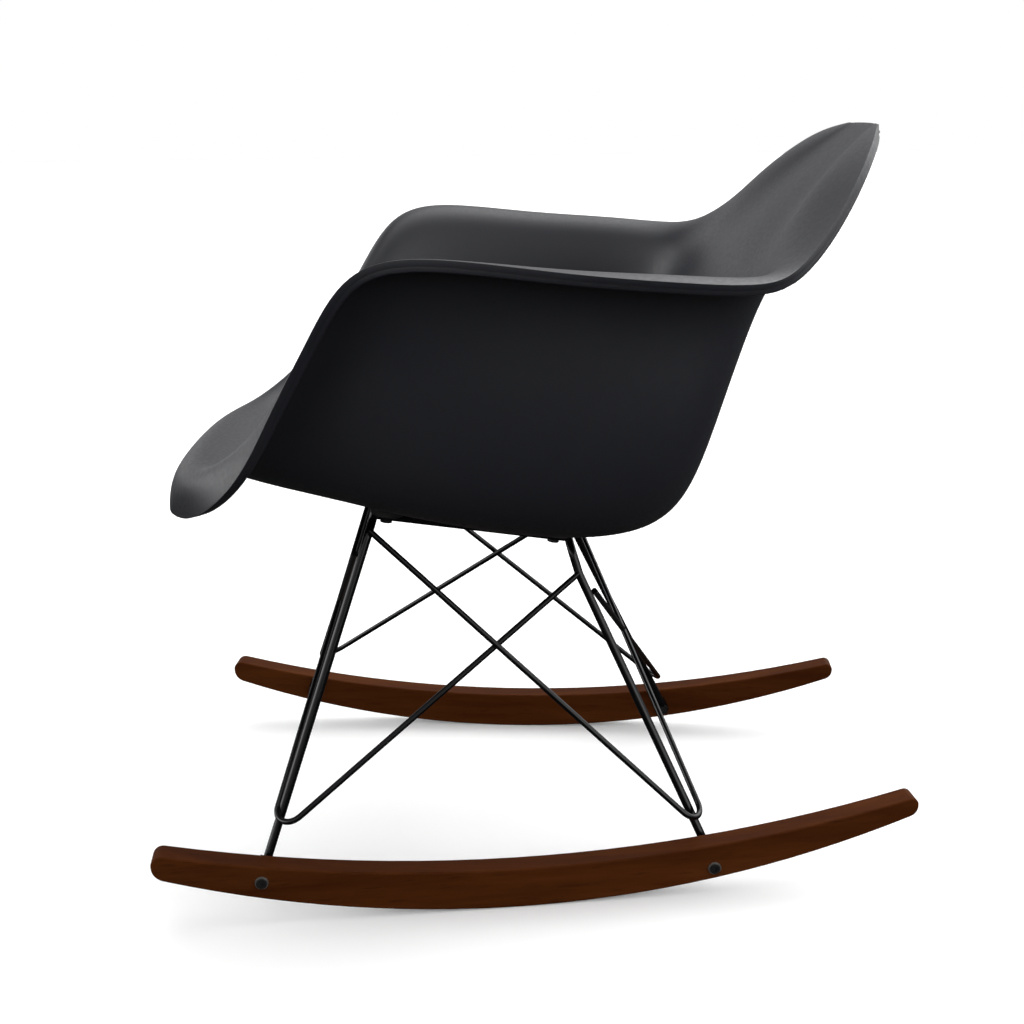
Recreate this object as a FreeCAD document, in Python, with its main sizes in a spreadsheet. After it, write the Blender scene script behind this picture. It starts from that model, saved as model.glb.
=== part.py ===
import FreeCAD, Part
import math
import os

import Sketcher
from FreeCAD import Placement, Rotation, Vector

# Moulded plastic rocking chair: a one-piece bucket armchair shell on a welded rod base with
# wooden rockers. Millimetres. X is the sitter's left, -Y the front, +Z up. The origin lies on
# the floor where the rockers touch it, midway between them.

doc = FreeCAD.newDocument("RockingChair")
sheet = doc.addObject("Spreadsheet::Sheet", "Sizes")

sizes = {
    # Rockers: arc-shaped runners, closer together at the back than at the front
    "rocker_spacing": 389.6,
    "rocker_toe_angle": 5.17,
    "rocker_thickness": 23,
    "rocker_bottom_radius": 1036,
    "rocker_top_radius": 1460,
    "rocker_mid_height": 38.5,
    "rocker_top_shift": 3,
    "rocker_front_reach": 330.5,
    "rocker_rear_reach": 367,
    "rocker_end_top_rounding": 9,
    "rocker_end_bottom_rounding": 14.5,
    "rocker_edge_rounding": 1.6,
    # Bolts that join each leg to its rocker
    "bolt_front_reach": 235.5,
    "bolt_front_height": 43.5,
    "bolt_rear_reach": 175,
    "bolt_rear_height": 26,
    "bolt_thread": 6,
    "bolt_hole_clearance": 0.4,
    "bolt_head": 9.5,
    "bolt_head_thickness": 2,
    "bolt_socket": 4,
    "bolt_socket_depth": 1.4,
    "bolt_washer": 12,
    "bolt_washer_thickness": 1.2,
    "bolt_nut_flats": 10,
    "bolt_nut_thickness": 5,
    "bolt_end_beyond_nut": 2,
    # Steel tabs welded to the feet of the legs
    "foot_tab_width": 12,
    "foot_tab_length": 18,
    "foot_tab_thickness": 3,
    "leg_end_height": 7,
    "front_foot_shift": 4,
    "rear_foot_shift": -1,
    # Rods of the base
    "leg_rod": 8,
    "brace_rod": 5.5,
    "brace_bend": 16,
    "leg_bend": 16,
    "front_leg_bend_spacing": 226,
    "front_leg_offset": 7,
    "rear_leg_bend_spacing": 184,
    "rear_leg_offset": 10,
    "rear_knee_spacing": 196,
    "rear_knee_y": 56.5,
    "rear_knee_z": 283,
    "rear_knee_bend": 40,
    "brace_front_top_z": 335,
    "brace_front_end_z": 313.5,
    "brace_rear_top_z": 285,
    "brace_rear_end_z": 267,
    "brace_front_loop_z": 73,
    "brace_rear_loop_z": 50,
    "brace_loop_out": 25,
    "brace_front_loop_along": 5,
    "brace_rear_loop_along": 11.5,
    # Seat mounts: bosses under the shell, rubber spacers, flat rails and screws
    "mount_front_spacing": 190,
    "mount_rear_spacing": 176,
    "mount_front_y": -119,
    "mount_rear_y": 35,
    "boss_diameter": 34,
    "boss_drop": 8,
    "boss_wall": 3,
    "boss_cap_gap": 0.5,
    "insert_diameter": 10,
    "insert_length": 9,
    "spacer_diameter": 30,
    "spacer_thickness": 5,
    "rail_width": 24,
    "rail_thickness": 3,
    "rail_end_margin": 13,
    "screw_thread": 6,
    "screw_head": 11,
    "screw_head_thickness": 3.3,
    "screw_hole_clearance": 0.5,
    "screw_socket": 4,
    "screw_socket_depth": 2,
    "seat_washer": 16,
    "seat_washer_thickness": 1.5,
    # Shell
    "shell_wall": 5,
}

# Ribs of the shell from the front lip to the top of the back. Each has the middle of the
# underside (y, z), the rim (x, y, z), the width of its rolled flange, the height of the
# flange's crest over the rim, and how far its section is a deep bucket rather than a shallow dish.
rib_parts = ("mid_y", "mid_z", "rim_x", "rim_y", "rim_z", "flange", "crest", "bucket")
ribs = {
    "lip": (-326, 341, 90.5, -308, 345, 24, -2.5, 0.0),
    "lip_corner": (-317.5, 385.5, 174.5, -277.5, 360.5, 26, 4, 0.15),
    "seat_front": (-289.5, 404, 218.5, -231.5, 397.5, 26, 9, 0.45),
    "arm_foot": (-236, 380.5, 230, -199.5, 458.5, 26, 6.5, 0.75),
    "arm_front": (-172, 366, 256, -159.5, 528, 26, 2.5, 0.9),
    "arm_corner": (-115, 354, 288, -126, 586, 30, 1, 1.0),
    "arm_tip": (-58, 342.5, 304, -68.5, 593, 36, -0.5, 1.0),
    "arm_middle": (9.5, 332, 311, 31, 578.5, 44, 10.5, 1.0),
    "arm_rear": (80, 329, 310, 120, 571, 52, 19, 1.0),
    "elbow": (136, 345.5, 294, 183.5, 565, 56, 20, 0.95),
    "back_wing": (159, 409.5, 248, 220.5, 571.5, 50, 18, 0.8),
    "back_side": (164, 498, 190, 270, 618.5, 42, 16, 0.5),
    "shoulder": (231, 599, 130, 305, 669, 27, 6, 0.25),
    "crown": (330, 679, 56, 325, 677, 12, 1, 0.0),
}

row = 0
for alias, value in sizes.items():
    row += 1
    sheet.set("A%d" % row, alias.replace("_", " "))
    sheet.set("B%d" % row, str(value))
    sheet.setAlias("B%d" % row, alias)
for rib, values in ribs.items():
    for part, value in zip(rib_parts, values):
        row += 1
        sheet.set("A%d" % row, (rib + "_" + part).replace("_", " "))
        sheet.set("B%d" % row, str(value))
        sheet.setAlias("B%d" % row, rib + "_" + part)
doc.recompute()


def size(alias):
    return float(sheet.get(alias))


def cell(alias):
    return "Sizes." + alias


nodes = []


def add_node(obj, label, placement=None):
    obj.Label = label
    if placement is not None:
        obj.Placement = placement
    nodes.append(obj)
    return obj


def add_shape(label, shape):
    obj = doc.addObject("Part::Feature", label)
    obj.Shape = shape
    return add_node(obj, label)


def bind(obj, **expressions):
    for name, expression in expressions.items():
        obj.setExpression(name, expression)
    return obj


def cylinder(name, diameter, height, bottom="0"):
    obj = doc.addObject("Part::Cylinder", name)
    bind(obj, Radius="(" + diameter + ") / 2", Height=height)
    obj.setExpression(".Placement.Base.z", bottom)
    return obj


def hexagon(name, flats, height, bottom="0"):
    obj = doc.addObject("Part::Prism", name)
    obj.Polygon = 6
    bind(obj, Circumradius="(" + flats + ") / 2 / cos(30)", Height=height)
    obj.setExpression(".Placement.Base.z", bottom)
    return obj


def cut(name, base, tool):
    obj = doc.addObject("Part::Cut", name)
    obj.Base = base
    obj.Tool = tool
    return obj


def fuse(name, pieces):
    obj = doc.addObject("Part::MultiFuse", name)
    obj.Shapes = pieces
    return obj


def unit(vector):
    return Vector(vector).normalize()


def mirrored(point, side):
    return Vector(side * point.x, point.y, point.z)


# A round rod along straight runs joined by tangent arcs
def rod(points, bends, diameter):
    edges = []
    start = points[0]
    for i in range(1, len(points) - 1):
        before = unit(points[i - 1] - points[i])
        after = unit(points[i + 1] - points[i])
        turn = math.pi - before.getAngle(after)
        reach = bends[i - 1] * math.tan(turn / 2)
        first = points[i] + before * reach
        last = points[i] + after * reach
        centre = points[i] + unit(before + after) * (bends[i - 1] / math.cos(turn / 2))
        middle = centre + unit(points[i] - centre) * bends[i - 1]
        edges.append(Part.LineSegment(start, first).toShape())
        edges.append(Part.Arc(first, middle, last).toShape())
        start = last
    edges.append(Part.LineSegment(start, points[-1]).toShape())
    path = Part.Wire(edges)
    circle = Part.Circle(points[0], points[1] - points[0], diameter / 2)
    profile = Part.Wire([circle.toShape()])
    return path.makePipeShell([profile], True, False)


# Shell: two smooth skins one wall apart, closed along the rim
open_section = ((0, 0, 0), (0.25, 0.03, 0), (0.5, 0.12, 0.05), (0.72, 0.32, 0.25))
bucket_section = ((0, 0, 0), (0.36, 0, 0), (0.74, 0.05, 0.05), (0.83, 0.40, 0.60))
open_crest = (0.50, 0.62)
bucket_crest = (0.90, 1.0)


def blend(first, second, share):
    return first + (second - first) * share


def rib_poles(rib):
    mid_y, mid_z, rim_x, rim_y, rim_z, flange, crest, bucket = [size(rib + "_" + p) for p in rib_parts]
    half = []
    for shallow, deep in zip(open_section, bucket_section):
        across, back, rise = [blend(a, b, bucket) for a, b in zip(shallow, deep)]
        half.append(Vector(rim_x * across, blend(mid_y, rim_y, back), blend(mid_z, rim_z, rise)))
    back, rise = [blend(a, b, bucket) for a, b in zip(open_crest, bucket_crest)]
    half.append(Vector(rim_x - flange, blend(mid_y, rim_y, back), blend(mid_z, rim_z, rise) + crest))
    half.append(Vector(rim_x, rim_y, rim_z))
    return [mirrored(p, -1) for p in half[:0:-1]] + half


def clamped_knots(poles):
    spans = poles - 3
    return [i / spans for i in range(spans + 1)], [4] + [1] * (spans - 1) + [4]


def skin(net):
    knots_u, mults_u = clamped_knots(len(net))
    knots_v, mults_v = clamped_knots(len(net[0]))
    surface = Part.BSplineSurface()
    surface.buildFromPolesMultsKnots(net, mults_u, mults_v, knots_u, knots_v, False, False, 3, 3)
    return surface


def pole_places(poles):
    knots, mults = clamped_knots(poles)
    flat = [k for k, count in zip(knots, mults) for _ in range(count)]
    return [sum(flat[i + 1:i + 4]) / 3 for i in range(poles)]


def offset_net(net, surface, distance):
    places_u = pole_places(len(net))
    places_v = pole_places(len(net[0]))
    moved = []
    for u, line in zip(places_u, net):
        moved.append([p + unit(surface.normal(u, v)) * distance for v, p in zip(places_v, line)])
    return moved


outer_net = [rib_poles(rib) for rib in ribs]
outer_skin = skin(outer_net)
inward = 1 if outer_skin.normal(0.5, 0.5).z > 0 else -1
inner_skin = skin(offset_net(outer_net, outer_skin, inward * size("shell_wall")))


def rim_edges(surface):
    sides = [surface.uIso(0), surface.uIso(1), surface.vIso(0), surface.vIso(1)]
    return [curve.toShape() for curve in sides]


faces = [outer_skin.toShape(), inner_skin.toShape()]
for low, high in zip(rim_edges(outer_skin), rim_edges(inner_skin)):
    faces.append(Part.makeRuledSurface(low, high))
walls = Part.makeShell(faces)
walls.sewShape()
shell_solid = Part.makeSolid(walls)
if shell_solid.Volume < 0:
    shell_solid.reverse()


# Height of the shell's underside at a place
def underside(x, y):
    upright = Part.Line(Vector(x, y, 0), Vector(x, y, 1))
    crossings = upright.intersectCS(outer_skin)[0]
    return min(point.Z for point in crossings)


# The four seat mounts lie in one plane that follows the slope of the seat
mounts = {}
for end in ("front", "rear"):
    mount_x = size("mount_" + end + "_spacing") / 2
    mount_y = size("mount_" + end + "_y")
    mounts[end] = Vector(mount_x, mount_y, underside(mount_x, mount_y) - size("boss_drop"))
slope = mounts["rear"] - mounts["front"]
mount_up = unit(Vector(0, -slope.z, slope.y))
mount_turn = Rotation(Vector(0, 0, 1), mount_up)


def mount_place(end, side, height):
    return Placement(mirrored(mounts[end], side) + mount_up * height, mount_turn)


corners = [(end, side, name) for end in ("front", "rear") for side, name in ((1, "left"), (-1, "right"))]

boss_height = size("boss_drop") + size("shell_wall") / 2
bore_depth = size("insert_length") + size("boss_cap_gap")
bosses = []
bores = []
for end, side, name in corners:
    base = mount_place(end, side, 0)
    boss = Part.makeCylinder(size("boss_diameter") / 2, boss_height)
    cap = Part.makeCylinder(size("insert_diameter") / 2 + size("boss_wall"), bore_depth + size("boss_wall"))
    bore = Part.makeCylinder(size("insert_diameter") / 2, bore_depth)
    for piece in (boss, cap, bore):
        piece.Placement = base
    bosses += [boss, cap]
    bores.append(bore)
shell_solid = shell_solid.fuse(bosses).cut(bores)
add_shape("seat_shell", shell_solid)

# Hardware of the seat mounts, each on the mount plane's own axis
rail_top = -size("spacer_thickness")
rail_bottom = rail_top - size("rail_thickness")
for end, side, name in corners:
    tag = end + "_" + name
    screw_hole = cell("screw_thread") + " + " + cell("screw_hole_clearance")

    body = cylinder("InsertBody_" + tag, cell("insert_diameter"), cell("insert_length"))
    bore = cylinder("InsertBore_" + tag, cell("screw_thread"), cell("insert_length"))
    add_node(cut("Insert_" + tag, body, bore), "threaded_insert_" + tag, mount_place(end, side, 0))

    body = cylinder("SpacerBody_" + tag, cell("spacer_diameter"), cell("spacer_thickness"))
    bore = cylinder("SpacerBore_" + tag, screw_hole, cell("spacer_thickness"))
    spacer = cut("Spacer_" + tag, body, bore)
    add_node(spacer, "rubber_spacer_" + tag, mount_place(end, side, rail_top))

    body = cylinder("WasherBody_" + tag, cell("seat_washer"), cell("seat_washer_thickness"))
    bore = cylinder("WasherBore_" + tag, screw_hole, cell("seat_washer_thickness"))
    washer = cut("SeatWasher_" + tag, body, bore)
    washer_bottom = rail_bottom - size("seat_washer_thickness")
    add_node(washer, "seat_washer_" + tag, mount_place(end, side, washer_bottom))

    shank_length = " + ".join(cell(a) for a in ("seat_washer_thickness", "rail_thickness",
                                                "spacer_thickness", "insert_length"))
    shank = cylinder("ScrewShank_" + tag, cell("screw_thread"), shank_length)
    head = cylinder("ScrewHead_" + tag, cell("screw_head"), cell("screw_head_thickness"),
                    "-" + cell("screw_head_thickness"))
    socket = hexagon("ScrewSocket_" + tag, cell("screw_socket"), cell("screw_socket_depth"),
                     "-" + cell("screw_head_thickness"))
    screw = cut("SeatScrew_" + tag, fuse("ScrewBlank_" + tag, [shank, head]), socket)
    add_node(screw, "seat_screw_" + tag, mount_place(end, side, washer_bottom))


# Flat rails from front mount to rear mount, with a hole at each
def rail_shape(side):
    front = mirrored(mounts["front"], side)
    rear = mirrored(mounts["rear"], side)
    along = unit(rear - front)
    across = unit(mount_up.cross(along))
    half = across * (size("rail_width") / 2)
    start = front - along * size("rail_end_margin") + mount_up * rail_bottom
    stop = rear + along * size("rail_end_margin") + mount_up * rail_bottom
    outline = Part.makePolygon([start - half, start + half, stop + half, stop - half, start - half])
    bar = Part.Face(outline).extrude(mount_up * size("rail_thickness"))
    radius = (size("screw_thread") + size("screw_hole_clearance")) / 2
    for hub in (front, rear):
        seat = hub + mount_up * rail_bottom
        bar = bar.cut(Part.makeCylinder(radius, size("rail_thickness"), seat, mount_up))
    return bar


for side, name in ((1, "left"), (-1, "right")):
    add_shape("seat_rail_" + name, rail_shape(side))


# Rocker frame: a place along a rocker, with its outward direction
toe = math.radians(size("rocker_toe_angle"))


def rocker_point(along, height, outward, side=1):
    x = size("rocker_spacing") / 2 - along * math.sin(toe) + outward * math.cos(toe)
    y = along * math.cos(toe) + outward * math.sin(toe)
    return Vector(side * x, y, height)


def rocker_axis(side):
    return Vector(side * math.cos(toe), math.sin(toe), 0)


rocker_inner = -size("rocker_thickness") / 2
rocker_outer = size("rocker_thickness") / 2
bolts = {
    "front": (-size("bolt_front_reach"), size("bolt_front_height")),
    "rear": (size("bolt_rear_reach"), size("bolt_rear_height")),
}


def body_plane(body, role):
    return [f for f in body.Origin.OriginFeatures if f.Role == role][0]


# The most of an end's height that each rounding of its nose may take as its radius
nose_shares = {"top": 0.39, "bottom": 0.63}


def make_rocker(side, name):
    body = doc.addObject("PartDesign::Body", "Rocker_" + name)
    sketch = body.newObject("Sketcher::SketchObject", "RockerProfile_" + name)
    sketch.AttachmentSupport = (body_plane(body, "YZ_Plane"), [""])
    sketch.MapMode = "FlatFace"
    bottom_r = size("rocker_bottom_radius")
    top_r = size("rocker_top_radius")
    front = -size("rocker_front_reach")
    rear = size("rocker_rear_reach")
    shift = size("rocker_top_shift")
    top_z = size("rocker_mid_height") + top_r

    def on_bottom(along):
        return Vector(along, bottom_r - math.sqrt(bottom_r ** 2 - along ** 2), 0)

    def on_top(along):
        return Vector(along, top_z - math.sqrt(top_r ** 2 - (along - shift) ** 2), 0)

    def arc(centre, radius, first, last):
        first_angle = math.atan2(first.y - centre.y, first.x - centre.x)
        last_angle = math.atan2(last.y - centre.y, last.x - centre.x)
        circle = Part.Circle(centre, Vector(0, 0, 1), radius)
        return Part.ArcOfCircle(circle, first_angle, last_angle)

    ends = [on_bottom(front), on_bottom(rear), on_top(rear), on_top(front)]
    lower = sketch.addGeometry(arc(Vector(0, bottom_r, 0), bottom_r, ends[0], ends[1]))
    rear_end = sketch.addGeometry(Part.LineSegment(ends[1], ends[2]))
    upper = sketch.addGeometry(arc(Vector(shift, top_z, 0), top_r, ends[3], ends[2]))
    front_end = sketch.addGeometry(Part.LineSegment(ends[3], ends[0]))
    sketch.addConstraint([
        Sketcher.Constraint("Coincident", lower, 2, rear_end, 1),
        Sketcher.Constraint("Coincident", rear_end, 2, upper, 2),
        Sketcher.Constraint("Coincident", upper, 1, front_end, 1),
        Sketcher.Constraint("Coincident", front_end, 2, lower, 1),
        Sketcher.Constraint("PointOnObject", lower, 3, -2),
    ])
    driven = (
        ("bottom_radius", ("Radius", lower, bottom_r), cell("rocker_bottom_radius")),
        ("bottom_centre", ("DistanceY", -1, 1, lower, 3, bottom_r), cell("rocker_bottom_radius")),
        ("top_radius", ("Radius", upper, top_r), cell("rocker_top_radius")),
        ("top_centre", ("DistanceY", -1, 1, upper, 3, top_z),
         cell("rocker_mid_height") + " + " + cell("rocker_top_radius")),
        ("top_shift", ("DistanceX", -1, 1, upper, 3, shift), cell("rocker_top_shift")),
        ("front_reach", ("DistanceX", lower, 1, -1, 1, -front), cell("rocker_front_reach")),
        ("front_top_reach", ("DistanceX", upper, 1, -1, 1, -front), cell("rocker_front_reach")),
        ("rear_reach", ("DistanceX", -1, 1, lower, 2, rear), cell("rocker_rear_reach")),
        ("rear_top_reach", ("DistanceX", -1, 1, upper, 2, rear), cell("rocker_rear_reach")),
    )
    for title, definition, expression in driven:
        index = sketch.addConstraint(Sketcher.Constraint(*definition))
        sketch.renameConstraint(index, title)
        sketch.setExpression("Constraints." + title, expression)
    pad = body.newObject("PartDesign::Pad", "RockerPad_" + name)
    pad.Profile = sketch
    pad.setExpression("Length", cell("rocker_thickness"))
    doc.recompute()

    holes = body.newObject("Sketcher::SketchObject", "RockerHoles_" + name)
    holes.AttachmentSupport = (body_plane(body, "YZ_Plane"), [""])
    holes.MapMode = "FlatFace"
    hole_size = cell("bolt_thread") + " + " + cell("bolt_hole_clearance")
    for end, (along, height) in bolts.items():
        radius = (size("bolt_thread") + size("bolt_hole_clearance")) / 2
        circle = Part.Circle(Vector(along, height, 0), Vector(0, 0, 1), radius)
        hole = holes.addGeometry(circle)
        if along < 0:
            reach = ("DistanceX", hole, 3, -1, 1, -along)
        else:
            reach = ("DistanceX", -1, 1, hole, 3, along)
        for title, definition, expression in (
                (end + "_size", ("Diameter", hole, 2 * radius), hole_size),
                (end + "_reach", reach, cell("bolt_" + end + "_reach")),
                (end + "_height", ("DistanceY", -1, 1, hole, 3, height), cell("bolt_" + end + "_height"))):
            index = holes.addConstraint(Sketcher.Constraint(*definition))
            holes.renameConstraint(index, title)
            holes.setExpression("Constraints." + title, expression)
    pocket = body.newObject("PartDesign::Pocket", "RockerBores_" + name)
    pocket.Profile = holes
    pocket.Reversed = True
    pocket.setExpression("Length", cell("rocker_thickness"))
    doc.recompute()

    # The nose of each end: a tight rounding above and a long one below, both within its height
    rounding = pocket
    for end, along in (("front", front), ("rear", rear)):
        end_height = on_top(along).y - on_bottom(along).y
        for title, face in (("top", on_top), ("bottom", on_bottom)):
            corner = Vector(0, face(along).x, face(along).y)
            tips = []
            for i, edge in enumerate(rounding.Shape.Edges):
                middle = edge.BoundBox.Center
                middle.x = 0
                if edge.BoundBox.XLength > 1 and middle.distanceToPoint(corner) < 0.1:
                    tips.append("Edge%d" % (i + 1))
            previous = rounding
            rounding = body.newObject("PartDesign::Fillet", "RockerEnd_%s_%s_%s" % (end, title, name))
            rounding.Base = (previous, tips)
            wanted = cell("rocker_end_" + title + "_rounding") + " * 1 mm"
            rounding.setExpression("Radius", "min(%s; %.3f mm)" % (wanted, end_height * nose_shares[title]))
            doc.recompute()

    long_edges = []
    for i, edge in enumerate(rounding.Shape.Edges):
        if edge.BoundBox.XLength < 0.01 and edge.Length > size("rocker_front_reach"):
            long_edges.append("Edge%d" % (i + 1))
    easing = body.newObject("PartDesign::Fillet", "RockerEdges_" + name)
    easing.Base = (rounding, long_edges)
    easing.setExpression("Radius", cell("rocker_edge_rounding"))
    body.Tip = easing
    turn = Rotation(Vector(0, 0, 1), side * size("rocker_toe_angle"))
    centre = Vector(side * size("rocker_spacing") / 2, 0, 0)
    offset = turn.multVec(Vector(-size("rocker_thickness") / 2, 0, 0))
    add_node(body, "rocker_" + name, Placement(centre + offset, turn))


for side, name in ((1, "left"), (-1, "right")):
    make_rocker(side, name)

# Foot tabs, rocker bolts, washers and nuts
for end, side, name in corners:
    tag = end + "_" + name
    along, height = bolts[end]
    axis = rocker_axis(side)

    def bolt_place(outward):
        return Placement(rocker_point(along, height, outward, side), Rotation(Vector(0, 0, 1), axis))

    tab_foot = rocker_inner - size("foot_tab_thickness")
    bolt_hole = cell("bolt_thread") + " + " + cell("bolt_hole_clearance")

    body = cylinder("BoltWasherBody_" + tag, cell("bolt_washer"), cell("bolt_washer_thickness"))
    bore = cylinder("BoltWasherBore_" + tag, bolt_hole, cell("bolt_washer_thickness"))
    add_node(cut("BoltWasher_" + tag, body, bore), "rocker_washer_" + tag, bolt_place(rocker_outer))

    grip = " + ".join(cell(a) for a in ("bolt_washer_thickness", "rocker_thickness", "foot_tab_thickness",
                                        "bolt_nut_thickness", "bolt_end_beyond_nut"))
    shank = cylinder("BoltShank_" + tag, cell("bolt_thread"), grip, "-(" + grip + ")")
    head = cylinder("BoltHead_" + tag, cell("bolt_head"), cell("bolt_head_thickness"))
    socket = hexagon("BoltSocket_" + tag, cell("bolt_socket"), cell("bolt_socket_depth"),
                     cell("bolt_head_thickness") + " - " + cell("bolt_socket_depth"))
    bolt = cut("RockerBolt_" + tag, fuse("BoltBlank_" + tag, [shank, head]), socket)
    add_node(bolt, "rocker_bolt_" + tag, bolt_place(rocker_outer + size("bolt_washer_thickness")))

    body = hexagon("NutBody_" + tag, cell("bolt_nut_flats"), cell("bolt_nut_thickness"))
    bore = cylinder("NutBore_" + tag, cell("bolt_thread"), cell("bolt_nut_thickness"))
    nut = cut("Nut_" + tag, body, bore)
    add_node(nut, "rocker_nut_" + tag, bolt_place(tab_foot - size("bolt_nut_thickness")))


# Leg lines: from the bend under the seat down to the tab on the rocker
leg_radius = size("leg_rod") / 2
brace_radius = size("brace_rod") / 2
rod_level = rail_bottom - leg_radius


def leg_foot(end):
    along, height = bolts[end]
    outward = rocker_inner - size("foot_tab_thickness") - leg_radius
    return rocker_point(along + size(end + "_foot_shift"), height + size("leg_end_height"), outward)


def leg_bend(end):
    spacing = size(end + "_leg_bend_spacing") / 2
    toward_front = Vector(0, -mount_up.z, mount_up.y)
    shift = size(end + "_leg_offset") + size("screw_head") / 2
    base = Vector(spacing, mounts[end].y, mounts[end].z)
    direction = 1 if end == "front" else -1
    return base + mount_up * rod_level + toward_front * (direction * shift)


knee = Vector(size("rear_knee_spacing") / 2, size("rear_knee_y"), size("rear_knee_z"))
leg_lines = {
    "front": [leg_foot("front"), leg_bend("front")],
    "rear": [leg_foot("rear"), knee, leg_bend("rear")],
}
leg_bends = {
    "front": [size("leg_bend")],
    "rear": [size("rear_knee_bend"), size("leg_bend")],
}
for end in ("front", "rear"):
    line = leg_lines[end]
    points = line + [mirrored(p, -1) for p in reversed(line)]
    bends = leg_bends[end] + list(reversed(leg_bends[end]))
    add_shape(end + "_leg_frame", rod(points, bends, size("leg_rod")))

for end, side, name in corners:
    along, height = bolts[end]
    foot = leg_lines[end][0]
    shin = unit(leg_lines[end][1] - foot)
    axis = rocker_axis(1)
    rise = unit(shin - axis * shin.dot(axis))
    across = unit(axis.cross(rise)) * (size("foot_tab_width") / 2)
    hub = rocker_point(along, height, rocker_inner - size("foot_tab_thickness"))
    top = hub + rise * (size("foot_tab_length") - size("foot_tab_width") / 2)
    bottom = hub - rise * (size("foot_tab_width") / 2)
    edges = [
        Part.LineSegment(hub + across, top + across).toShape(),
        Part.LineSegment(top + across, top - across).toShape(),
        Part.LineSegment(top - across, hub - across).toShape(),
        Part.Arc(hub - across, bottom, hub + across).toShape(),
    ]
    plate = Part.Face(Part.Wire(edges)).extrude(axis * size("foot_tab_thickness"))
    radius = (size("bolt_thread") + size("bolt_hole_clearance")) / 2
    plate = plate.cut(Part.makeCylinder(radius, size("foot_tab_thickness"), hub, axis))
    if side < 0:
        plate = plate.mirror(Vector(0, 0, 0), Vector(1, 0, 0))
    add_shape("foot_tab_" + end + "_" + name, plate)


# Place on a leg's centre line at a height
def on_leg(end, height):
    line = leg_lines[end]
    for low, high in zip(line, line[1:]):
        if height <= high.z or high is line[-1]:
            return low + (high - low) * ((height - low.z) / (high.z - low.z))


touch = leg_radius + brace_radius


# Each brace starts beside one leg, loops round the other leg's foot on the same side,
# and ends across the chair on the far leg of that end
def brace_points(start_end, loop_end):
    start = on_leg(start_end, size("brace_" + start_end + "_top_z")) + Vector(touch, 0, 0)
    outside = -1 if loop_end == "front" else 1
    loop = on_leg(loop_end, size("brace_" + loop_end + "_loop_z"))
    loop = loop + Vector(size("brace_loop_out"), outside * size("brace_" + loop_end + "_loop_along"), 0)
    stop = mirrored(on_leg(loop_end, size("brace_" + loop_end + "_end_z")), -1)
    stop = stop + Vector(0, outside * touch, 0)
    return [start, loop, stop]


for start_end, loop_end in (("front", "rear"), ("rear", "front")):
    for side, name in ((1, "left"), (-1, "right")):
        points = [mirrored(p, side) for p in brace_points(start_end, loop_end)]
        add_shape("brace_" + loop_end + "_" + name, rod(points, [size("brace_bend")], size("brace_rod")))

doc.recompute()

for obj in doc.Objects:
    if "Invalid" in obj.State or "Error" in obj.State:
        raise RuntimeError(obj.Label + " is " + ", ".join(obj.State))
os.makedirs("parts", exist_ok=True)
for node in nodes:
    if node.Shape.isNull() or not node.Shape.isValid():
        raise RuntimeError(node.Label + " has no valid shape")
    print(node.Label, len(node.Shape.Solids), round(node.Shape.Volume, 1))
for node in nodes:
    node.Shape.exportStep(os.path.join("parts", node.Label + ".step"))
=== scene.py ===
import math

import bpy
from mathutils import Euler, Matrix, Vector


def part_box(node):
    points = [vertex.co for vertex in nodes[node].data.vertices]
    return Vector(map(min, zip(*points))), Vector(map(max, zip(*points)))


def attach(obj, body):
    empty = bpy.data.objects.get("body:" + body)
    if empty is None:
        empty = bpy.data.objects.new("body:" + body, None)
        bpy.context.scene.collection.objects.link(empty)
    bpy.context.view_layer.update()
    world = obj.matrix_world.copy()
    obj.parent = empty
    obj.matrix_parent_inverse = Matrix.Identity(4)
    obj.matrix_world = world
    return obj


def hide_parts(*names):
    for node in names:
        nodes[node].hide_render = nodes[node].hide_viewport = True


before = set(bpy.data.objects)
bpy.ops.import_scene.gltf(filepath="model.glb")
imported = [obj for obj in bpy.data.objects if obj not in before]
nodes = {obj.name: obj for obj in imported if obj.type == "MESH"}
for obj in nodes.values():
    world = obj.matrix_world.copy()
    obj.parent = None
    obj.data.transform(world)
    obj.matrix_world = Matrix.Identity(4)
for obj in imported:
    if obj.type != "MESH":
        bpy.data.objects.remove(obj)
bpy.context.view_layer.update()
print("frame loaded:", len(nodes), "pieces")

# The room the chair stands in and the place it is seen from, in metres and degrees
studio = {
    "floorSize": 40.0,
    "floorGap": 0.0005,
    "floorSeen": (0.97, 0.97, 0.97, 1),
    "floorBounce": (0.03, 0.03, 0.03, 1),
    "floorLift": (0.09, 0.09, 0.09, 1),
    "cameraPlace": (1.3294, -0.02844, 0.69983),
    "cameraTurn": (73.864, 0.722, 88.700),
    "focalPixels": 1396.6,
    "framePixels": 1024,
    "sensorWidth": 36.0,
}


def selectOnly(piece):
    bpy.ops.object.select_all(action="DESELECT")
    piece.select_set(True)
    bpy.context.view_layer.objects.active = piece


def applyModifier(piece, kind, **settings):
    selectOnly(piece)
    modifier = piece.modifiers.new(kind, kind)
    for name, value in settings.items():
        setattr(modifier, name, value)
    bpy.ops.object.modifier_apply(modifier=modifier.name)


def editWhole(piece, operator, **settings):
    selectOnly(piece)
    bpy.ops.object.mode_set(mode="EDIT")
    bpy.ops.mesh.select_all(action="SELECT")
    operator(**settings)
    bpy.ops.object.mode_set(mode="OBJECT")


def finishPiece(piece, name, material):
    piece.name = name
    piece.data.name = name
    selectOnly(piece)
    bpy.ops.object.transform_apply(location=True, rotation=True, scale=True)
    piece.data.materials.clear()
    piece.data.materials.append(material)
    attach(piece, "root")
    return piece


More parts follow.
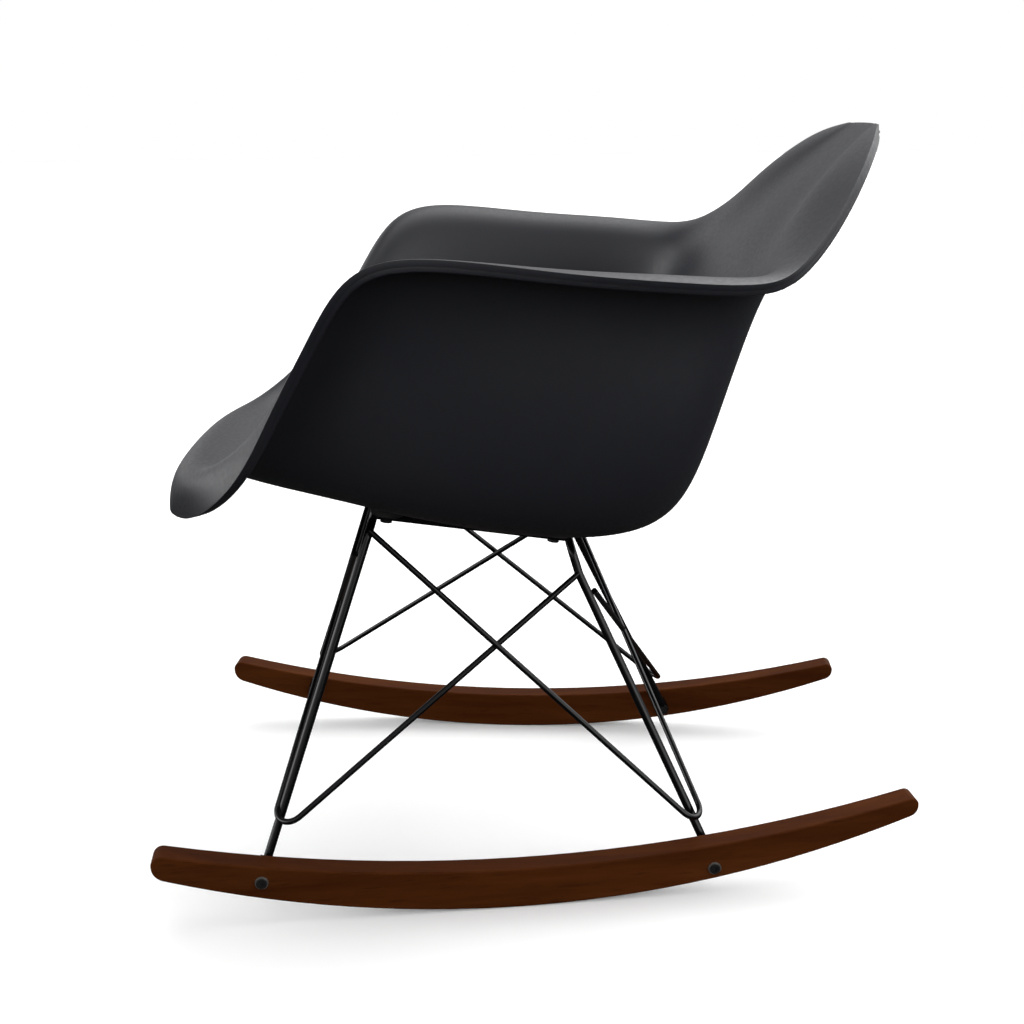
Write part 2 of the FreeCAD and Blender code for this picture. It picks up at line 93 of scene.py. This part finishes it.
# Materials
def newMaterial(name):
    material = bpy.data.materials.new(name)
    material.use_nodes = True
    tree = material.node_tree
    shader = tree.nodes["Principled BSDF"]
    place = tree.nodes.new("ShaderNodeTexCoord")
    return material, tree, shader, place


def addNoise(tree, place, scale, detail=4, stretch=None, roughness=0.5):
    noise = tree.nodes.new("ShaderNodeTexNoise")
    noise.inputs["Scale"].default_value = scale
    noise.inputs["Detail"].default_value = detail
    noise.inputs["Roughness"].default_value = roughness
    if stretch:
        mapping = tree.nodes.new("ShaderNodeMapping")
        mapping.inputs["Scale"].default_value = stretch
        tree.links.new(place.outputs["Object"], mapping.inputs["Vector"])
        tree.links.new(mapping.outputs["Vector"], noise.inputs["Vector"])
    else:
        tree.links.new(place.outputs["Object"], noise.inputs["Vector"])
    return noise.outputs["Fac"]


def addRamp(tree, source, stops):
    stops = list(stops)
    ramp = tree.nodes.new("ShaderNodeValToRGB")
    while len(ramp.color_ramp.elements) < len(stops):
        ramp.color_ramp.elements.new(0.5)
    for element, (position, colour) in zip(ramp.color_ramp.elements, stops):
        element.position = position
        element.color = colour
    tree.links.new(source, ramp.inputs["Fac"])
    return ramp.outputs["Color"]


def addRange(tree, source, low, high, fromLow=0.3, fromHigh=0.7, easing="LINEAR"):
    span = tree.nodes.new("ShaderNodeMapRange")
    span.interpolation_type = easing
    span.inputs["From Min"].default_value = fromLow
    span.inputs["From Max"].default_value = fromHigh
    span.inputs["To Min"].default_value = low
    span.inputs["To Max"].default_value = high
    tree.links.new(source, span.inputs["Value"])
    return span.outputs["Result"]


def addBump(tree, shader, height, strength, distance, under=None):
    bump = tree.nodes.new("ShaderNodeBump")
    bump.inputs["Strength"].default_value = strength
    bump.inputs["Distance"].default_value = distance
    tree.links.new(height, bump.inputs["Height"])
    if under:
        tree.links.new(under.outputs["Normal"], bump.inputs["Normal"])
    tree.links.new(bump.outputs["Normal"], shader.inputs["Normal"])
    return bump


# Each value may be fixed or another node's output. Sockets 6 and 7 in and 2 out are the colour ones.
def mixColours(tree, factor, first, second):
    mix = tree.nodes.new("ShaderNodeMix")
    mix.data_type = "RGBA"
    sockets = (mix.inputs["Factor"], mix.inputs[6], mix.inputs[7])
    for socket, value in zip(sockets, (factor, first, second)):
        if hasattr(value, "is_output"):
            tree.links.new(value, socket)
        else:
            socket.default_value = value
    return mix.outputs[2]


shellFinish = {
    "colour": (0.0120, 0.0127, 0.0175, 1),
    "dustColour": (0.0165, 0.0170, 0.0210, 1),
    "dustScale": 5,
    "scuffColour": (0.028, 0.028, 0.029, 1),
    "scuffScale": 36,
    "scuffStretch": (1, 9, 1),
    "scuffAmount": 0.35,
    "scuffFrom": 0.72,
    "scuffTo": 0.84,
    "speckScale": 260,
    "roughLow": 0.40,
    "roughHigh": 0.50,
    "grainScale": 1400,
    "grainStrength": 0.35,
    "grainHeight": 0.00006,
    "gloss": 1.47,
}


def makeShellPlastic():
    look = shellFinish
    material, tree, shader, place = newMaterial("satinBlackPlastic")
    dust = addNoise(tree, place, look["dustScale"], 3)
    speck = addNoise(tree, place, look["speckScale"], 2)
    scuff = addNoise(tree, place, look["scuffScale"], 6, look["scuffStretch"], 0.62)
    grain = addNoise(tree, place, look["grainScale"], 2)
    dusted = mixColours(tree, addRange(tree, dust, 0, 1), look["colour"], look["dustColour"])
    scuffs = addRange(tree, scuff, 0, look["scuffAmount"], look["scuffFrom"], look["scuffTo"])
    worn = mixColours(tree, scuffs, dusted, look["scuffColour"])
    tree.links.new(worn, shader.inputs["Base Color"])
    rough = addRange(tree, speck, look["roughLow"], look["roughHigh"])
    tree.links.new(rough, shader.inputs["Roughness"])
    shader.inputs["IOR"].default_value = look["gloss"]
    addBump(tree, shader, grain, look["grainStrength"], look["grainHeight"])
    return material


woodFinish = {
    "dark": (0.033, 0.0078, 0.0016, 1),
    "middle": (0.062, 0.0162, 0.0034, 1),
    "light": (0.098, 0.0290, 0.0068, 1),
    "bandScale": 1.6,
    "bandStretch": (7, 0.7, 16),
    "bandStops": (0.30, 0.52, 0.74),
    "grainStretch": (60, 2.2, 60),
    "grainStops": (0.32, 0.50, 0.72),
    "grainShare": 0.55,
    "grainStrength": 0.20,
    "grainHeight": 0.0006,
    "poreColour": (0.006, 0.0025, 0.0015, 1),
    "poreStretch": (420, 12, 420),
    "poreAmount": 0.4,
    "poreFrom": 0.60,
    "poreTo": 0.75,
    "poreStrength": 0.25,
    "poreDepth": 0.0004,
    "roughLow": 0.50,
    "roughHigh": 0.64,
    "shine": 0.03,
}


def makeWalnut():
    look = woodFinish
    material, tree, shader, place = newMaterial("walnutStainedWood")
    stains = (look["dark"], look["middle"], look["light"])
    band = addNoise(tree, place, look["bandScale"], 4, look["bandStretch"], 0.55)
    grain = addNoise(tree, place, 1.0, 8, look["grainStretch"], 0.62)
    pore = addNoise(tree, place, 1.0, 3, look["poreStretch"], 0.5)
    banded = addRamp(tree, band, zip(look["bandStops"], stains))
    streaked = addRamp(tree, grain, zip(look["grainStops"], stains))
    stained = mixColours(tree, look["grainShare"], banded, streaked)
    pores = addRange(tree, pore, 0, look["poreAmount"], look["poreFrom"], look["poreTo"])
    tree.links.new(mixColours(tree, pores, stained, look["poreColour"]), shader.inputs["Base Color"])
    rough = addRange(tree, grain, look["roughLow"], look["roughHigh"])
    tree.links.new(rough, shader.inputs["Roughness"])
    shader.inputs["Specular IOR Level"].default_value = look["shine"]
    pits = addBump(tree, shader, pore, look["poreStrength"], look["poreDepth"])
    addBump(tree, shader, grain, look["grainStrength"], look["grainHeight"], pits)
    return material


# Two tones that change place in patches, over a fine grain
paints = {
    "blackPowderCoat": {
        "tones": ((0.0015, 0.0015, 0.0020, 1), (0.003, 0.003, 0.0036, 1)),
        "rough": 0.20, "shine": 0.28, "metal": 0, "grainScale": 1900, "grainHeight": 0.00006,
    },
    "blackOxideSteel": {
        "tones": ((0.018, 0.018, 0.019, 1), (0.032, 0.031, 0.030, 1)),
        "rough": 0.34, "shine": 0.5, "metal": 0.6, "grainScale": 1200, "grainHeight": 0.00004,
    },
    # Washer steel: its light grey tones are a painted highlight, standing in for the bright ring along
    # the washer's edge
    "paintedHighlightSteel": {
        "tones": ((0.20, 0.19, 0.18, 1), (0.28, 0.27, 0.25, 1)),
        "rough": 0.34, "shine": 0.5, "metal": 0.7, "grainScale": 1000, "grainHeight": 0.00004,
    },
    "mountRubber": {
        "tones": ((0.012, 0.012, 0.012, 1), (0.022, 0.021, 0.020, 1)),
        "rough": 0.78, "shine": 0.5, "metal": 0, "grainScale": 900, "grainHeight": 0.0001,
    },
    "turnedBrass": {
        "tones": ((0.50, 0.34, 0.12, 1), (0.62, 0.44, 0.19, 1)),
        "rough": 0.30, "shine": 0.5, "metal": 1, "grainScale": 700, "grainHeight": 0.00003,
    },
}
paintPatches = {"scale": 45, "smoother": 0.05, "rougher": 0.07, "grainStrength": 0.3}


def makePaint(name):
    look = paints[name]
    material, tree, shader, place = newMaterial(name)
    patch = addNoise(tree, place, paintPatches["scale"], 4)
    grain = addNoise(tree, place, look["grainScale"], 2)
    toned = mixColours(tree, addRange(tree, patch, 0, 1), *look["tones"])
    tree.links.new(toned, shader.inputs["Base Color"])
    rough = addRange(tree, patch, look["rough"] - paintPatches["smoother"],
                     look["rough"] + paintPatches["rougher"])
    tree.links.new(rough, shader.inputs["Roughness"])
    shader.inputs["Metallic"].default_value = look["metal"]
    shader.inputs["Specular IOR Level"].default_value = look["shine"]
    addBump(tree, shader, grain, paintPatches["grainStrength"], look["grainHeight"])
    return material


shellPlastic = makeShellPlastic()
walnut = makeWalnut()
powderCoat = makePaint("blackPowderCoat")
blackOxide = makePaint("blackOxideSteel")
# Light grey washer finish: painted highlight for the washer edge's bright ring
washerPaintedHighlight = makePaint("paintedHighlightSteel")
mountRubber = makePaint("mountRubber")
insertBrass = makePaint("turnedBrass")
print("materials made")


# The shell: a grid laid over the ribs, then given its wall and its rounded rim. Each rib holds the
# y and z of its middle, the x, y and z of its rim, the width of the rim's flange, the height of the
# flange's crest and how far the section is a bucket instead of an open sweep.
shell = {
    "ribs": {
        "lip": (-0.3260, 0.3410, 0.0905, -0.3080, 0.3450, 0.0240, -0.0025, 0),
        "lipCorner": (-0.3175, 0.3855, 0.1745, -0.2775, 0.3605, 0.0260, 0.0040, 0.15),
        "seatFront": (-0.2895, 0.4040, 0.2185, -0.2315, 0.3975, 0.0260, 0.0090, 0.45),
        "armFoot": (-0.2360, 0.3805, 0.2300, -0.1995, 0.4585, 0.0260, 0.0065, 0.75),
        "armFront": (-0.1720, 0.3660, 0.2560, -0.1595, 0.5280, 0.0260, 0.0025, 0.9),
        "armCorner": (-0.1150, 0.3540, 0.2880, -0.1260, 0.5860, 0.0300, 0.0010, 1),
        "armTip": (-0.0580, 0.3425, 0.3040, -0.0685, 0.5930, 0.0360, -0.0005, 1),
        "armMiddle": (0.0095, 0.3320, 0.3110, 0.0310, 0.5785, 0.0440, 0.0105, 1),
        "armRear": (0.0800, 0.3290, 0.3100, 0.1200, 0.5710, 0.0520, 0.0190, 1),
        "elbow": (0.1360, 0.3455, 0.2940, 0.1835, 0.5650, 0.0560, 0.0200, 0.95),
        "backWing": (0.1590, 0.4095, 0.2480, 0.2205, 0.5715, 0.0500, 0.0180, 0.8),
        "backSide": (0.1640, 0.4980, 0.1900, 0.2700, 0.6185, 0.0420, 0.0160, 0.5),
        "shoulder": (0.2310, 0.5990, 0.1300, 0.3050, 0.6690, 0.0270, 0.0060, 0.25),
        "crown": (0.3300, 0.6790, 0.0560, 0.3250, 0.6770, 0.0120, 0.0010, 0),
    },
    "openSection": ((0, 0, 0), (0.25, 0.03, 0), (0.5, 0.12, 0.05), (0.72, 0.32, 0.25)),
    "bucketSection": ((0, 0, 0), (0.36, 0, 0), (0.74, 0.05, 0.05), (0.83, 0.40, 0.60)),
    "openCrest": (0.50, 0.62),
    "bucketCrest": (0.90, 1.0),
    "wall": 0.005,
    "rimRounding": 0.0021,
    "sharpAngle": 50,
    "seatMiddle": (0, 0, 0.33),
    "across": 120,
    "along": 150,
    "crowding": 0.75,
}


def blend(first, second, share):
    return first + (second - first) * share


def ribPoles(rib):
    midY, midZ, rimX, rimY, rimZ, flange, crest, bucket = rib
    half = []
    for shallow, deep in zip(shell["openSection"], shell["bucketSection"]):
        out, back, rise = [blend(a, b, bucket) for a, b in zip(shallow, deep)]
        half.append(Vector((rimX * out, blend(midY, rimY, back), blend(midZ, rimZ, rise))))
    back, rise = [blend(a, b, bucket) for a, b in zip(shell["openCrest"], shell["bucketCrest"])]
    half.append(Vector((rimX - flange, blend(midY, rimY, back), blend(midZ, rimZ, rise) + crest)))
    half.append(Vector((rimX, rimY, rimZ)))
    return [Vector((-p.x, p.y, p.z)) for p in half[:0:-1]] + half


# Weights of a clamped cubic curve's poles at a place between 0 and 1
def poleWeights(place, poles):
    spans = poles - 3
    knots = [0.0] * 3 + [i / spans for i in range(spans + 1)] + [1.0] * 3
    span = min(int(place * spans), spans - 1) + 3
    weights = [1.0]
    for degree in range(1, 4):
        raised = [0.0] * (degree + 1)
        for i, weight in enumerate(weights):
            low = knots[span - degree + 1 + i]
            high = knots[span + 1 + i]
            share = (place - low) / (high - low)
            raised[i] += weight * (1 - share)
            raised[i + 1] += weight * share
        weights = raised
    return span - 3, weights


def curvePoint(place, points):
    first, weights = poleWeights(place, len(points))
    return sum((points[first + i] * w for i, w in enumerate(weights)), Vector())


# Places from 0 to 1, closer together at both ends
def easedPlaces(count):
    straight = [i / count for i in range(count + 1)]
    return [blend(t, 0.5 - 0.5 * math.cos(math.pi * t), shell["crowding"]) for t in straight]


def makeSkin():
    net = [ribPoles(rib) for rib in shell["ribs"].values()]
    rows = []
    for along in easedPlaces(shell["along"]):
        line = [curvePoint(along, [poles[i] for poles in net]) for i in range(len(net[0]))]
        rows.append([curvePoint(across, line) for across in easedPlaces(shell["across"])])
    return rows


def makeShell(rows):
    bpy.ops.object.select_all(action="DESELECT")
    columns, lines = shell["across"], shell["along"]
    bpy.ops.mesh.primitive_grid_add(x_subdivisions=columns, y_subdivisions=lines, size=2)
    piece = bpy.context.object
    for vertex in piece.data.vertices:
        column = round((vertex.co.x + 1) / 2 * columns)
        row = round((vertex.co.y + 1) / 2 * lines)
        vertex.co = rows[row][column]
    editWhole(piece, bpy.ops.mesh.normals_make_consistent, inside=False)
    seat = Vector(shell["seatMiddle"])
    middle = min(piece.data.polygons, key=lambda face: (face.center - seat).length)
    if middle.normal.z > 0:  # the wall grows upwards, away from the way the faces look
        editWhole(piece, bpy.ops.mesh.flip_normals)
    applyModifier(piece, "SOLIDIFY", thickness=shell["wall"], offset=-1)
    applyModifier(piece, "BEVEL", width=shell["rimRounding"], segments=3, limit_method="ANGLE",
                  angle_limit=math.radians(shell["sharpAngle"]))
    selectOnly(piece)
    bpy.ops.object.shade_smooth()
    return piece


# The bead rolled round the whole rim: half sizes across and through the wall, and how far its
# middle lies inside the rim and below the middle of the wall
bead = {
    "halfWidth": 0.0023,
    "halfHeight": 0.0027,
    "inside": 0.0025,
    "below": 0.0008,
    "squareness": 4.5,
    "sides": 24,
    "smoothing": 6,
    "inwardSteps": 3,
}


def smoothLoop(values, passes):
    count = len(values)
    for smoothing in range(passes):
        values = [(values[i - 1] + values[i] * 2 + values[(i + 1) % count]) / 4 for i in range(count)]
    return values


def rimLoop(rows):
    last, wide, steps = len(rows) - 1, len(rows[0]) - 1, bead["inwardSteps"]
    places = [(row, wide) for row in range(last)]
    places += [(last, column) for column in range(wide, 0, -1)]
    places += [(row, 0) for row in range(last, 0, -1)]
    places += [(0, column) for column in range(wide)]
    rim, inward, through = [], [], []
    for row, column in places:
        point = rows[row][column]
        along = rows[min(row + 1, last)][column] - rows[max(row - 1, 0)][column]
        across = rows[row][min(column + 1, wide)] - rows[row][max(column - 1, 0)]
        inner = rows[min(max(row, steps), last - steps)][min(max(column, steps), wide - steps)]
        rim.append(point)
        through.append(across.cross(along).normalized())
        inward.append((inner - point).normalized())
    return rim, inward, through


def makeBead(rows):
    rim, inward, through = rimLoop(rows)
    inward = smoothLoop(inward, bead["smoothing"])
    through = smoothLoop(through, bead["smoothing"])
    if through[0].z < 0:
        through = [-normal for normal in through]
    count, power, ringRadius = len(rim), 2 / bead["squareness"], 2
    bpy.ops.object.select_all(action="DESELECT")
    bpy.ops.mesh.primitive_torus_add(major_segments=count, minor_segments=bead["sides"],
                                     major_radius=ringRadius, minor_radius=1)
    piece = bpy.context.object
    for vertex in piece.data.vertices:
        turn = round(math.atan2(vertex.co.y, vertex.co.x) / (2 * math.pi) * count) % count
        angle = math.atan2(vertex.co.z, math.hypot(vertex.co.x, vertex.co.y) - ringRadius)
        across = math.copysign(abs(math.cos(angle)) ** power, math.cos(angle)) * bead["halfWidth"]
        up = math.copysign(abs(math.sin(angle)) ** power, math.sin(angle)) * bead["halfHeight"]
        before, after = rim[turn - 1], rim[(turn + 1) % count]
        run = (after - before).normalized()
        normal = (through[turn] - run * through[turn].dot(run)).normalized()
        inner = inward[turn] - run * inward[turn].dot(run)
        inner = (inner - normal * inner.dot(normal)).normalized()
        centre = rim[turn] + inner * bead["inside"] + normal * (shell["wall"] / 2 - bead["below"])
        vertex.co = centre - inner * across + normal * up
    editWhole(piece, bpy.ops.mesh.normals_make_consistent, inside=False)
    bpy.ops.object.shade_smooth()
    return piece


# Four moulded bosses below the seat, each standing on its rubber spacer and bored for its insert
bosses = {
    "diameter": 0.034,
    "height": 0.011,
    "bore": 0.0104,
    "boreDepth": 0.00925,
    "rounding": 0.001,
    "spacer": 0.005,
}


def midBox(name):
    low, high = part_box(name)
    return (Vector(low) + Vector(high)) / 2


def makeBosses():
    front, rear = midBox("rubber_spacer_front_left"), midBox("rubber_spacer_rear_left")
    up = Vector((0, front.z - rear.z, rear.y - front.y)).normalized()
    turn = up.to_track_quat("Z", "Y").to_euler()
    pieces = []
    for spot in ("front_left", "front_right", "rear_left", "rear_right"):
        face = midBox("rubber_spacer_" + spot) + up * bosses["spacer"] / 2
        middle = face + up * bosses["height"] / 2
        bpy.ops.mesh.primitive_cylinder_add(vertices=64, radius=bosses["diameter"] / 2, rotation=turn,
                                            depth=bosses["height"], location=middle)
        boss = bpy.context.object
        bpy.ops.mesh.primitive_cylinder_add(vertices=64, radius=bosses["bore"] / 2, rotation=turn,
                                            depth=bosses["boreDepth"] * 2, location=face)
        bore = bpy.context.object
        applyModifier(boss, "BOOLEAN", operation="DIFFERENCE", object=bore)
        applyModifier(boss, "BEVEL", width=bosses["rounding"], segments=2, limit_method="ANGLE")
        bpy.data.objects.remove(bore)
        pieces.append(boss)
    return pieces


def joinPieces(first, others):
    bpy.ops.object.select_all(action="DESELECT")
    for piece in [first] + others:
        piece.select_set(True)
    bpy.context.view_layer.objects.active = first
    bpy.ops.object.join()
    return first


skinRows = makeSkin()
shellBody = joinPieces(makeShell(skinRows), [makeBead(skinRows)] + makeBosses())
shellPiece = finishPiece(shellBody, "moulded_shell", shellPlastic)
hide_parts("seat_shell")
print("shell made:", len(shellPiece.data.polygons), "faces")


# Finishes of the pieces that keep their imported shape
finishes = {
    "rocker_left": walnut,
    "rocker_right": walnut,
    "threaded_insert": insertBrass,
    "rubber_spacer": mountRubber,
    "seat_screw": blackOxide,
    "seat_washer": blackOxide,
    "rocker_bolt": blackOxide,
    # The washers' light grey is a painted highlight ring round each rocker bolt
    "rocker_washer": washerPaintedHighlight,
    "rocker_nut": blackOxide,
    "seat_rail": powderCoat,
    "foot_tab": powderCoat,
    "front_leg": powderCoat,
    "rear_leg": powderCoat,
    "brace": powderCoat,
    "seat_shell": shellPlastic,
}
for nodeName, node in nodes.items():
    for start, finish in finishes.items():
        if nodeName.startswith(start):
            node.data.materials.clear()
            node.data.materials.append(finish)
print("finishes given")


# Floor, light and camera
def makeFloor():
    bpy.ops.object.select_all(action="DESELECT")
    bpy.ops.mesh.primitive_plane_add(size=studio["floorSize"], location=(0, 0, -studio["floorGap"]))
    floor = bpy.context.object
    floor.name = "studio_floor"
    material, tree, shader, place = newMaterial("paleFloor")
    path = tree.nodes.new("ShaderNodeLightPath")
    seen = mixColours(tree, path.outputs["Is Camera Ray"], studio["floorBounce"], studio["floorSeen"])
    tree.links.new(seen, shader.inputs["Base Color"])
    lift = mixColours(tree, path.outputs["Is Camera Ray"], (0, 0, 0, 1), studio["floorLift"])
    tree.links.new(lift, shader.inputs["Emission Color"])
    shader.inputs["Emission Strength"].default_value = 1.0
    shader.inputs["Roughness"].default_value = 1.0
    shader.inputs["Specular IOR Level"].default_value = 0.0
    floor.data.materials.append(material)


# Glowing patches of the room round the chair: how far each turns from +X towards +Y and rises,
# in degrees, and its strength
glows = {
    "frontPanel": (270, 4, 4.8),
    "frontRightPanel": (315, 28, 1.1),
    "rearPanel": (90, 28, 1.0),
    "farRearWindow": (135, 28, 2.2),
    "farRearCeiling": (135, 55, 2.2),
    "farFrontWall": (225, 4, 1.0),
    "farWall": (180, 4, 0.25),
    "farWindow": (180, 28, 0.25),
    "farCeiling": (180, 55, 0.6),
    "nearRearPanel": (45, 28, 1.6),
    "nearRearWall": (45, 4, 2.0),
    "nearWall": (0, 4, 0.2),
    "nearPanel": (0, 28, 0.3),
    "ceiling": (0, 90, 0.5),
}
glowSize = {"core": 8, "edge": 36}  # degrees from a glow's middle at which it starts to fade and ends


def addGlow(tree, direction, glow):
    turn, rise, strength = math.radians(glow[0]), math.radians(glow[1]), glow[2]
    middle = (math.cos(rise) * math.cos(turn), math.cos(rise) * math.sin(turn), math.sin(rise))
    match = tree.nodes.new("ShaderNodeVectorMath")
    match.operation = "DOT_PRODUCT"
    match.inputs[1].default_value = middle
    tree.links.new(direction, match.inputs[0])
    return addRange(tree, match.outputs["Value"], 0, strength, math.cos(math.radians(glowSize["edge"])),
                    math.cos(math.radians(glowSize["core"])), "SMOOTHSTEP")


# The glows light the chair, and the camera sees plain white behind it
def makeWorld():
    world = bpy.data.worlds.new("studioWorld")
    bpy.context.scene.world = world
    world.use_nodes = True
    tree = world.node_tree
    room = tree.nodes["Background"]
    output = tree.nodes["World Output"]
    place = tree.nodes.new("ShaderNodeTexCoord")
    total = room.inputs["Strength"]
    for glow in glows.values():
        added = tree.nodes.new("ShaderNodeMath")
        added.operation = "ADD"
        tree.links.new(addGlow(tree, place.outputs["Generated"], glow), added.inputs[0])
        added.inputs[1].default_value = 0
        tree.links.new(added.outputs[0], total)
        total = added.inputs[1]
    room.inputs["Color"].default_value = (1, 1, 1, 1)
    white = tree.nodes.new("ShaderNodeBackground")
    white.inputs["Color"].default_value = (1, 1, 1, 1)
    path = tree.nodes.new("ShaderNodeLightPath")
    mix = tree.nodes.new("ShaderNodeMixShader")
    tree.links.new(path.outputs["Is Camera Ray"], mix.inputs["Fac"])
    tree.links.new(room.outputs["Background"], mix.inputs[1])
    tree.links.new(white.outputs["Background"], mix.inputs[2])
    tree.links.new(mix.outputs["Shader"], output.inputs["Surface"])


lamps = {
    "ceiling": {"place": (-0.1, -0.1, 1.0), "angle": 50, "strength": 0.8},
}


def makeLamps():
    for name, lamp in lamps.items():
        data = bpy.data.lights.new(name, "SUN")
        data.angle = math.radians(lamp["angle"])
        data.energy = lamp["strength"]
        light = bpy.data.objects.new(name, data)
        light.location = lamp["place"]
        light.rotation_euler = (-Vector(lamp["place"])).to_track_quat("-Z", "Y").to_euler()
        bpy.context.scene.collection.objects.link(light)


def makeCamera():
    data = bpy.data.cameras.new("photoCamera")
    data.sensor_width = studio["sensorWidth"]
    data.lens = studio["focalPixels"] / studio["framePixels"] * studio["sensorWidth"]
    camera = bpy.data.objects.new("photoCamera", data)
    camera.location = studio["cameraPlace"]
    camera.rotation_euler = Euler([math.radians(turn) for turn in studio["cameraTurn"]])
    bpy.context.scene.collection.objects.link(camera)
    bpy.context.scene.camera = camera


makeFloor()
makeWorld()
makeLamps()
makeCamera()
bpy.context.scene.view_settings.view_transform = "Standard"
print("studio made")
